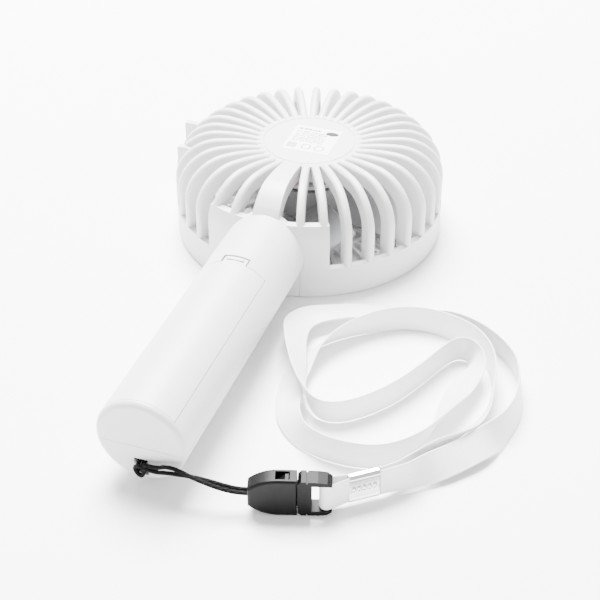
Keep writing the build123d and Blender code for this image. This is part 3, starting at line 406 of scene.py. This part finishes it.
# Streaks are twenty millimetres long and less than one wide.
STREAK_SCALE = (0.05, 1.6, 1.0)
ribbon_satin, satin_shader = new_material(
    "woven_satin_polyester", Roughness=0.42, IOR=1.5, Sheen_Weight=0.25, Sheen_Roughness=0.4
)
satin_uv = add_node(ribbon_satin, "UVMap", uv_map="along_across").outputs["UV"]
threads = add_node(
    ribbon_satin,
    "TexWave",
    {"Vector": satin_uv, "Scale": THREAD_SCALE, "Distortion": 0.6, "Detail": 1.0},
    bands_direction="Y",
)
streak_place = add_node(
    ribbon_satin, "Mapping", {"Vector": satin_uv, "Scale": STREAK_SCALE}
)
streaks = add_node(
    ribbon_satin, "TexNoise", {"Vector": streak_place.outputs["Vector"], "Scale": 1.0}
)
satin_tones = add_node(ribbon_satin, "ValToRGB", {"Fac": streaks.outputs["Fac"]})
satin_tones.color_ramp.elements[0].color = linear("#dcdcdc")
satin_tones.color_ramp.elements[1].color = linear("#ececec")
link(ribbon_satin, satin_tones.outputs["Color"], satin_shader.inputs["Base Color"])
satin_gloss = add_node(
    ribbon_satin, "MapRange", {"Value": streaks.outputs["Fac"], "To Min": 0.34, "To Max": 0.5}
)
link(ribbon_satin, satin_gloss.outputs["Result"], satin_shader.inputs["Roughness"])
satin_bump = add_node(
    ribbon_satin,
    "Bump",
    {"Height": threads.outputs["Fac"], "Strength": 0.25, "Distance": 0.05 * MM},
)
link(ribbon_satin, satin_bump.outputs["Normal"], satin_shader.inputs["Normal"])
print("satin ready for a ribbon", RIBBON_WIDTH, "mm wide")

# %% [markdown]
# Routes of the soft pieces
# Each soft piece follows a route: the points that the CAD model's cords also follow, in
# millimetres. A NURBS spline drawn close to those points gives a smooth line with no corners, and
# Blender works that line out for us.

# %% Smooth routes
UP = np.array([0.0, 0.0, 1.0])
SPLINE_ORDER = 3
SAME_PLACE = 1e-7


def smooth_line(name, route_mm, steps=12):
    """The route's smooth NURBS line as an array of points in metres, with doubles left out."""
    curve = bpy.data.curves.new(name, "CURVE")
    curve.dimensions = "3D"
    curve.resolution_u = steps
    spline = curve.splines.new("NURBS")
    spline.points.add(len(route_mm) - 1)
    flat = np.ones((len(route_mm), 4))
    flat[:, :3] = np.array(route_mm) * MM
    spline.points.foreach_set("co", flat.ravel())
    spline.order_u = SPLINE_ORDER
    spline.use_endpoint_u = True
    holder = bpy.data.objects.new(name, curve)
    line_mesh = bpy.data.meshes.new_from_object(holder)
    line = np.empty(len(line_mesh.vertices) * 3)
    line_mesh.vertices.foreach_get("co", line)
    bpy.data.objects.remove(holder)
    bpy.data.curves.remove(curve)
    bpy.data.meshes.remove(line_mesh)
    line = line.reshape(-1, 3)
    keep = np.r_[True, np.linalg.norm(np.diff(line, axis=0), axis=1) > SAME_PLACE]
    return line[keep]


def distance_along(line):
    """How far along the line each of its points is: the running sum of the steps' lengths."""
    return np.r_[0.0, np.cumsum(np.linalg.norm(np.diff(line, axis=0), axis=1))]


def evenly_spaced(line, count):
    """The line again, as count points the same distance apart, and how far along each is."""
    spots = distance_along(line)
    even = np.linspace(0, spots[-1], count)
    return np.stack([np.interp(even, spots, line[:, axis]) for axis in range(3)], axis=1), even


def unit(vectors):
    """Each vector divided by its own length."""
    return vectors / np.linalg.norm(vectors, axis=-1, keepdims=True)


def line_frame(line):
    """Tangent, level side and upward direction at each point of a line."""
    tangent = unit(np.gradient(line, axis=0))
    side = unit(np.cross(UP, tangent))
    return tangent, side, np.cross(tangent, side)


print("a smooth line is a B-spline of order", SPLINE_ORDER)

# %% [markdown]
# The thin cord
# The black loop cord is braided nylon, 1.4 mm thick. A braid is two sets of yarns wound opposite
# ways. Its surface is drawn as the higher of two waves that spiral in opposite directions.

# %% Braided tube
CORD_RADIUS = 0.7
HITCH_RADIUS = 0.68
YARNS = 6
BRAID_PITCH = 2.6 * MM
BRAID_STEP = 0.11 * MM
BRAID_DEPTH = 0.14
END_LENGTH = 0.25 * MM


def tube_caps(along, around):
    """Triangles from each end ring to a middle point; the two middle points come last."""
    j = np.arange(around)
    k = (j + 1) % around
    last_ring = (along - 1) * around
    start_middle = np.full(around, along * around)
    end_middle = start_middle + 1
    start = np.stack([start_middle, k, j], axis=1)
    end = np.stack([end_middle, j + last_ring, k + last_ring], axis=1)
    return start.tolist() + end.tolist()


def braided_tube(name, line, radius_mm, material):
    """A tube round the line whose radius rises with the higher of two opposite spiral waves.

    radius = (1 - BRAID_DEPTH + BRAID_DEPTH * higher wave), where one wave is the cosine of the
    yarns times the angle plus the spiral, and the other is that of the yarns times the angle less
    the spiral. At both ends the radius falls off as a quarter circle.
    """
    around = 36
    count = max(int(distance_along(line)[-1] / BRAID_STEP), 24)
    centre, even = evenly_spaced(line, count)
    _, side, up = line_frame(centre)
    angle = np.linspace(0, 2 * np.pi, around, endpoint=False)[None, :]
    spiral = 2 * np.pi * even[:, None] / BRAID_PITCH
    right_hand = np.cos(YARNS * angle + spiral)
    left_hand = np.cos(YARNS * angle - spiral + np.pi / 2)
    relief = 1 - BRAID_DEPTH + BRAID_DEPTH * np.maximum(right_hand, left_hand)
    from_end = np.minimum(even, even[-1] - even) / END_LENGTH
    ends = np.sqrt(1 - (1 - np.clip(from_end, 0.02, 1.0)) ** 2)
    radius = radius_mm * MM * relief * ends[:, None]
    ring = (
        np.cos(angle)[..., None] * side[:, None, :] + np.sin(angle)[..., None] * up[:, None, :]
    )
    surface = centre[:, None, :] + radius[..., None] * ring
    points = np.vstack([surface.reshape(-1, 3), centre[0], centre[-1]])
    faces = grid_faces(count, around).tolist() + tube_caps(count, around)
    return new_mesh_object(name, points, faces, material), centre


cord_nylon = moulded_plastic(
    "braided_nylon_black", "#060607", 0.62, grain_mm=0.25, grain_depth=0.2, shine=0.1
)
print("the braid has", 2 * YARNS, "yarns")

# %% [markdown]
# The two strands
# Two strands of the cord leave the hitch one above the other, cross over each other and enter the
# buckle's nose side by side. So one line is drawn midway between them, with a turn and a reach at
# each of its points, and the second strand stays half a turn away from the first.

# %% Strand route
HITCH_END = np.array([3.0, -163.8, 10.0])
STRANDS_OUT = np.array([3.0, -0.3, 0.0])
BUCKLE_ANGLE = radians(17)
BUCKLE_WAY = np.array([np.cos(BUCKLE_ANGLE), np.sin(BUCKLE_ANGLE), 0.0])
NOSE = np.array([35.0, -160.6, 7.2])
STRAND_REACHES = np.array([0.85, 0.85, 1.1, 1.1, 0.85, 1.0, 0.95, 0.85, 0.85])
STRAND_TURNS = np.radians([90, 90, 75, 100, 142, 165, 180, 180, 180])
strand_centre = np.array(
    [
        HITCH_END,
        HITCH_END + STRANDS_OUT,
        (9.5, -164.3, 11.6),
        (13.6, -164.1, 11.6),
        (18.2, -163.8, 10.7),
        (22.9, -163.4, 9.8),
        (27.5, -162.8, 8.6),
        NOSE - BUCKLE_WAY * 2.6,
        NOSE + BUCKLE_WAY * 2.2,
    ]
)
print("the strands run midway along", len(strand_centre), "points")


# %% Two strands
def twisted(route, reaches, turns):
    """The route moved out by each reach: out = cos(turn) times level left, plus sin(turn) up."""
    ahead = np.gradient(route, axis=0)
    ahead[:2] = route[1] - route[0]
    ahead[-2:] = route[-1] - route[-2]
    left = unit(np.stack([-ahead[:, 1], ahead[:, 0], 0 * ahead[:, 0]], axis=1))
    out = np.cos(turns)[:, None] * left + np.sin(turns)[:, None] * UP
    return route + out * reaches[:, None]


for name, half_turn in (("loop_cord_left", 0), ("loop_cord_right", np.pi)):
    route = twisted(strand_centre, STRAND_REACHES, STRAND_TURNS + half_turn)
    line = smooth_line(name + "_route", route, steps=24)
    strand, strand_line = braided_tube(name + "_braid", line, CORD_RADIUS, cord_nylon)
    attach(strand, "housing")
    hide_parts(name)

# %% [markdown]
# The hitch
# The cord is a loop that was passed behind the strap bar and then through itself. What shows is
# two turns round the bar and one bight across them.

# %% Turns round the bar
BAR_Y, BAR_Z = -161.0, 8.0
TURN_RADIUS = 1.85
TURN_PLACE = 0.85


def ring_line(x, radius):
    """A circle round the strap bar in the plane at x: cosine along Y and sine along Z."""
    turn = np.linspace(0, 2 * np.pi, 97)
    y, z = BAR_Y + radius * np.cos(turn), BAR_Z + radius * np.sin(turn)
    return np.column_stack([np.full_like(turn, x), y, z]) * MM


hitch_parts = []
for side_name, x in (("a", -TURN_PLACE), ("b", TURN_PLACE)):
    ring = ring_line(x, TURN_RADIUS)
    hitch_parts.append(braided_tube("hitch_turn_" + side_name, ring, HITCH_RADIUS, cord_nylon)[0])


# %% Bight and tails
HALF_GAP = 0.85


def hitch_piece(name, route_mm):
    """One piece of the hitch: a braided tube along a smooth line near a few points."""
    line = smooth_line(name + "_route", np.array(route_mm))
    return braided_tube(name, line, HITCH_RADIUS, cord_nylon)[0]


# The bight crosses in front of both turns and goes round their lower end.
hitch_parts.append(
    hitch_piece(
        "hitch_bight",
        [
            (2.3, -163.3, 9.9),
            (1.2, -164.2, 10.2),
            (-1.0, -163.9, 9.7),
            (-1.6, -163.6, 8.2),
            (-0.6, -163.9, 6.6),
            (0.9, -164.1, 6.0),
            (1.6, -163.9, 7.2),
            (2.0, -163.4, 8.9),
        ],
    )
)
# A tail runs from the turns to each strand, and lift is how far it goes above or below the middle.
for side_name, lift in (("left", HALF_GAP), ("right", -HALF_GAP)):
    hitch_parts.append(
        hitch_piece(
            "hitch_tail_" + side_name,
            [
                (-0.6 * lift, -163.2, 8.2 + 0.7 * lift),
                (1.0, -163.7, 9.0 + 0.8 * lift),
                HITCH_END - STRANDS_OUT * 0.3 + UP * lift,
                HITCH_END + STRANDS_OUT * 0.06 + UP * lift,
            ],
        )
    )
for part in hitch_parts:
    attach(part, "housing")
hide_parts("cord_hitch")
print("the hitch has", len(hitch_parts), "pieces")

# %% [markdown]
# The neck ribbon
# One ribbon, 10 mm wide, goes from the clip round a loose double loop and back to the clip. It
# stands on its edge where it is free, leans or lies down where it twists, and passes under itself
# once. So its shape is a centre line and a roll angle: 0 means on edge, 90 means flat. The band's
# width direction is cos(roll) times up plus sin(roll) times the level side.

# %% Ribbon route
CRIMP_ANGLE = radians(38)
BUCKLE_BAR = 24.2
CRIMP_GAP = 6.9
CRIMP_WAY = np.array([np.cos(CRIMP_ANGLE), np.sin(CRIMP_ANGLE), 0.0])
CRIMP_SIDE = np.array([-CRIMP_WAY[1], CRIMP_WAY[0], 0.0])
BAR = NOSE + BUCKLE_WAY * BUCKLE_BAR
CRIMP_START = BAR + CRIMP_WAY * CRIMP_GAP
CRIMP_LENGTH = 10.4
CRIMP_END = CRIMP_START + CRIMP_WAY * CRIMP_LENGTH
# How far each end of the ribbon lies from the middle of the clip.
LAYER = 0.85
leaving = CRIMP_END + CRIMP_SIDE * LAYER
returning = CRIMP_END - CRIMP_SIDE * LAYER
RIBBON_MIDDLE = [
    (79.6, -129.5, 5.4), (85.6, -119.3, 5.0), (92.0, -109.5, 5.0), (95.3, -99.5, 5.0),
    (95.9, -88.5, 5.0), (94.3, -78.5, 5.0), (90.3, -68.5, 5.0), (83.5, -60.8, 5.0),
    (74.5, -56.6, 5.0), (64.5, -55.2, 5.0), (55.5, -57.0, 5.0), (47.5, -62.0, 5.0),
    (40.0, -68.5, 5.0), (34.0, -76.0, 3.0), (29.8, -84.5, 1.7), (28.2, -93.5, 1.7),
    (28.6, -103.0, 2.0), (31.0, -112.6, 3.0), (34.6, -121.6, 5.0), (40.8, -128.9, 5.0),
    (49.6, -132.3, 5.0), (59.0, -132.8, 5.0), (67.8, -131.0, 5.0), (75.2, -125.2, 5.0),
    (80.3, -115.5, 5.0), (82.0, -105.5, 5.0), (83.4, -95.5, 5.0), (85.4, -86.0, 5.0),
    (86.6, -77.0, 5.0), (85.6, -70.0, 5.0), (81.6, -66.9, 5.0), (77.2, -69.0, 5.0),
    (73.8, -76.5, 5.0), (70.0, -86.5, 5.0), (65.2, -97.0, 5.0), (58.3, -107.0, 5.0),
    (50.0, -114.6, 5.0), (42.0, -115.6, 5.4), (35.8, -110.5, 7.6), (31.0, -102.5, 9.4),
    (27.0, -93.0, 9.6), (23.4, -84.0, 8.2), (20.9, -75.5, 7.0), (22.3, -67.5, 5.4),
    (29.5, -62.0, 5.0), (39.5, -57.6, 5.0), (50.0, -53.6, 5.0), (61.0, -50.8, 5.0),
    (72.0, -50.0, 5.0), (82.5, -53.4, 5.0), (92.0, -60.6, 5.0), (99.6, -69.8, 5.0),
    (103.9, -80.5, 5.0), (105.3, -92.0, 5.0), (103.2, -103.0, 5.0), (97.8, -113.5, 5.0),
    (91.0, -123.0, 5.0), (83.8, -131.8, 5.6),
]
ribbon_route = np.array(
    [leaving, leaving + CRIMP_WAY * 5, *RIBBON_MIDDLE, returning + CRIMP_WAY * 6, returning]
)
print("the ribbon's route has", len(ribbon_route), "points")

# %% Ribbon roll
# Roll in degrees at places along the route, counted in route points from the clip.
RIBBON_ROLL = [
    (0, 0), (2.6, 0), (4.3, -45), (6, 0), (9, -10), (13, 0), (15.5, 35), (17, 70), (19, 65),
    (21.5, 5), (25, 0), (26.5, -20), (28.6, -75), (30, -60), (31.5, 0), (36, 0), (38, 5),
    (40, 15), (42, 45), (43, 50), (44.5, 75), (46, 95), (47, 98), (48.5, 120), (50, 150),
    (53, 175), (56, 160), (57.2, 115), (58.5, 130), (59.6, 175), (61, 180),
]
print("the roll is given at", len(RIBBON_ROLL), "places")


# %% Band surface
SELVEDGE_PLACE, SELVEDGE_WIDTH = 0.93, 0.05


def band(name, centre, roll_degrees, width_mm, thickness_mm, material):
    """A woven band: a thin rounded section, carried along the centre line and rolled about it.

    The section is a flat oval: across = w * c, through = t * s * (1 + edge bead), where c is the
    cosine of the section's angle to the power 0.6 and s is its sine to the power 0.35, each with
    its own sign. The bead is a bell curve near each edge, which makes the woven selvedge.
    """
    tangent, side, up = line_frame(centre)
    roll = np.radians(roll_degrees)[:, None]
    across = np.cos(roll) * up + np.sin(roll) * side
    through = np.cross(tangent, across)
    turn = np.linspace(0, 2 * np.pi, 48, endpoint=False)
    flat_c = np.sign(np.cos(turn)) * np.abs(np.cos(turn)) ** 0.6
    flat_s = np.sign(np.sin(turn)) * np.abs(np.sin(turn)) ** 0.35
    bead = 1 + 0.5 * np.exp(-(((np.abs(flat_c) - SELVEDGE_PLACE) / SELVEDGE_WIDTH) ** 2))
    w = width_mm / 2 * MM * flat_c
    t = thickness_mm / 2 * MM * flat_s * bead
    points = (
        centre[:, None, :]
        + w[None, :, None] * across[:, None, :]
        + t[None, :, None] * through[:, None, :]
    )
    along = distance_along(centre)[:, None] / MM * np.ones_like(turn)
    uv = np.stack([along, np.broadcast_to(w / MM, along.shape)], axis=-1)
    count, around = along.shape
    faces = grid_faces(count, around)[:, ::-1].tolist()
    made = new_mesh_object(name, points, faces, material, uv)
    close_ends(made, count, around)
    return made


print("a selvedge stands at", SELVEDGE_PLACE, "of the half width")

# %% [markdown]
# Carrying the band along its route
# The roll was set at points of the route, so each point is first found on the smooth line. Between
# them the roll is a straight blend, then softened with a sliding bell-shaped average. Wherever the
# band would sink into the table, its middle is lifted by the height of the rolled section.

# %% Neck ribbon
RIBBON_POINTS = 1100
RIBBON_THICKNESS = 0.55
TABLE_GAP = 0.35
SOFTEN_POINTS = 31
ribbon_line = smooth_line("neck_ribbon_route", ribbon_route, steps=14)
ribbon_centre, _ = evenly_spaced(ribbon_line, RIBBON_POINTS)
nearest = np.array(
    [np.argmin(np.linalg.norm(ribbon_centre - point * MM, axis=1)) for point in ribbon_route]
)
nearest = np.maximum.accumulate(nearest)
route_place = np.interp(np.arange(RIBBON_POINTS), nearest, np.arange(len(ribbon_route)))
places, angles = np.array(RIBBON_ROLL, dtype=float).T
ribbon_roll = np.interp(route_place, places, angles)
soften = np.hanning(SOFTEN_POINTS) / np.hanning(SOFTEN_POINTS).sum()
padded_roll = np.pad(ribbon_roll, SOFTEN_POINTS // 2, mode="edge")
ribbon_roll = np.convolve(padded_roll, soften, mode="valid")
half_height = RIBBON_WIDTH / 2 * np.abs(np.cos(np.radians(ribbon_roll))) + TABLE_GAP
ribbon_centre[:, 2] = np.maximum(ribbon_centre[:, 2], half_height * MM)
ribbon = band(
    "neck_ribbon_band", ribbon_centre, ribbon_roll, RIBBON_WIDTH, RIBBON_THICKNESS, ribbon_satin
)
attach(ribbon, "housing")
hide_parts("neck_ribbon")

# %% [markdown]
# The ribbon tab
# A short piece of the same ribbon goes from the clip round the buckle's bar and back. Seen from
# above it is a drop: an arc round the bar, and two straight sides that meet at the clip.

# %% Tab
TAB_THICKNESS = 0.45
TAB_HEIGHT = 7.2
TAB_OVERLAP = 0.8
bar_radius, clip_radius = 2.05, 0.75
gap = float(np.linalg.norm((CRIMP_START - BAR)[:2]))
lean = np.arcsin((bar_radius - clip_radius) / gap)
arc = np.linspace(np.pi / 2 - lean, 1.5 * np.pi + lean, 60)
arc_points = bar_radius * np.stack([np.cos(arc), np.sin(arc)], axis=1)
clip_point = np.array([gap + TAB_OVERLAP, clip_radius])
far_side = np.array([gap + TAB_OVERLAP, -clip_radius])
steps = np.linspace(0, 1, 20)[:, None]
tab_plan = np.vstack(
    [
        clip_point + (arc_points[0] - clip_point) * steps[:-1],
        arc_points,
        arc_points[-1] + (far_side - arc_points[-1]) * steps[1:],
    ]
)
tab_line = BAR + tab_plan[:, :1] * CRIMP_WAY + tab_plan[:, 1:] * CRIMP_SIDE
tab_line[:, 2] = TAB_HEIGHT
on_edge = np.zeros(len(tab_line))
tab = band(
    "ribbon_tab_band", tab_line * MM, on_edge, RIBBON_WIDTH, TAB_THICKNESS, ribbon_satin
)
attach(tab, "housing")
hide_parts("ribbon_tab")

# %% [markdown]
# The clip
# A strip of plated steel is wrapped round the ribbon's four layers and pressed. The press leaves a
# rolled rail along the top and bottom, a shallow trough between them, and five dimples in a row
# that bite into the ribbon. Round the section the surface is a rounded rectangle whose thickness
# is changed by that relief.

# %% Clip
CLIP_HALF_HEIGHT = 5.5
CLIP_HALF_THICKNESS = 1.35
DIMPLE_COUNT = 5
DIMPLE_MARGIN = 1.8
END_ROUNDING = 0.35


def clip_surface(name, material):
    """A rounded box round the ribbon; its half thickness follows the pressed relief.

    half thickness = CLIP_HALF_THICKNESS + rails - trough - dimples. Each term is a smooth bump in
    millimetres: two bell curves along the edges, a flat-bottomed dip between them, and five
    flat-bottomed pits in a row. Both ends are rounded as a quarter circle.
    """
    along = np.linspace(0, CRIMP_LENGTH, 181)[:, None]
    turn = np.linspace(0, 2 * np.pi, 240, endpoint=False)[None, :]
    c, s = np.cos(turn), np.sin(turn)
    height = CLIP_HALF_HEIGHT * np.sign(s) * np.abs(s) ** 0.5
    rails = 0.38 * np.exp(-(((np.abs(height) - 4.35) / 0.75) ** 2))
    trough = 0.3 * np.exp(-((height / 2.6) ** 4))
    dimple_row = np.linspace(DIMPLE_MARGIN, CRIMP_LENGTH - DIMPLE_MARGIN, DIMPLE_COUNT)
    dimple_places = dimple_row[:, None, None]
    dimples = 0.45 * np.exp(
        -(((along - dimple_places) / 0.55) ** 4) - (((height + 0.3) / 0.95) ** 4)
    ).sum(axis=0)
    ends = np.minimum(along, CRIMP_LENGTH - along)
    rounding = np.sqrt(1 - (1 - np.clip(ends / END_ROUNDING, 0, 1)) ** 2)
    thickness = CLIP_HALF_THICKNESS + rails - trough - dimples
    depth = np.sign(c) * np.abs(c) ** 0.35 * thickness * (0.72 + 0.28 * rounding)
    height = height * (0.95 + 0.05 * rounding)
    points = (
        CRIMP_START
        + along[..., None] * CRIMP_WAY
        + depth[..., None] * CRIMP_SIDE
        + height[..., None] * UP
    ) * MM
    count, around = depth.shape
    made = new_mesh_object(name, points, grid_faces(count, around).tolist(), material)
    close_ends(made, count, around)
    return made


clip = clip_surface("ribbon_clip", bright_nickel)
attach(clip, "housing")
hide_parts("ribbon_crimp")

# %% [markdown]
# The room
# The room is white all round, so shadows are faint: a plain white floor under the fan, a white
# surround, and one large lamp high behind the head. The surround gives most of the light, so the
# lamp only has to make the soft shadows that show where things touch.

# %% Floor
FLOOR_REACH = 3.0
floor_mesh = bpy.data.meshes.new("floor")
corners = [
    (x * FLOOR_REACH, y * FLOOR_REACH, 0) for x, y in ((-1, -1), (1, -1), (1, 1), (-1, 1))
]
floor_mesh.from_pydata(corners, [], [(0, 1, 2, 3)])
floor = bpy.data.objects.new("floor", floor_mesh)
bpy.context.scene.collection.objects.link(floor)
floor_paint, _ = new_material(
    "matt_white_board", Base_Color=linear("#fbfbfb"), Roughness=0.9
)
floor_mesh.materials.append(floor_paint)
print("the floor is", 2 * FLOOR_REACH, "m wide")

# %% Surround and lamp
world = bpy.data.worlds.new("white_room")
bpy.context.scene.world = world
world.use_nodes = True
background = world.node_tree.nodes["Background"]
background.inputs["Color"].default_value = (1.0, 1.0, 1.0, 1.0)
background.inputs["Strength"].default_value = 1.5


def soft_lamp(name, place, target, size, power):
    """A square lamp of this size at a place, turned to its target."""
    data = bpy.data.lights.new(name, "AREA")
    data.size = size
    data.energy = power
    lamp = bpy.data.objects.new(name, data)
    bpy.context.scene.collection.objects.link(lamp)
    lamp.location = place
    lamp.rotation_euler = (Vector(target) - Vector(place)).to_track_quat("-Z", "Y").to_euler()
    print(name, "gives", power, "watts from", size, "m")


soft_lamp("key_lamp", (-0.3, 0.5, 1.2), (0, -0.05, 0), 0.8, 190.0)
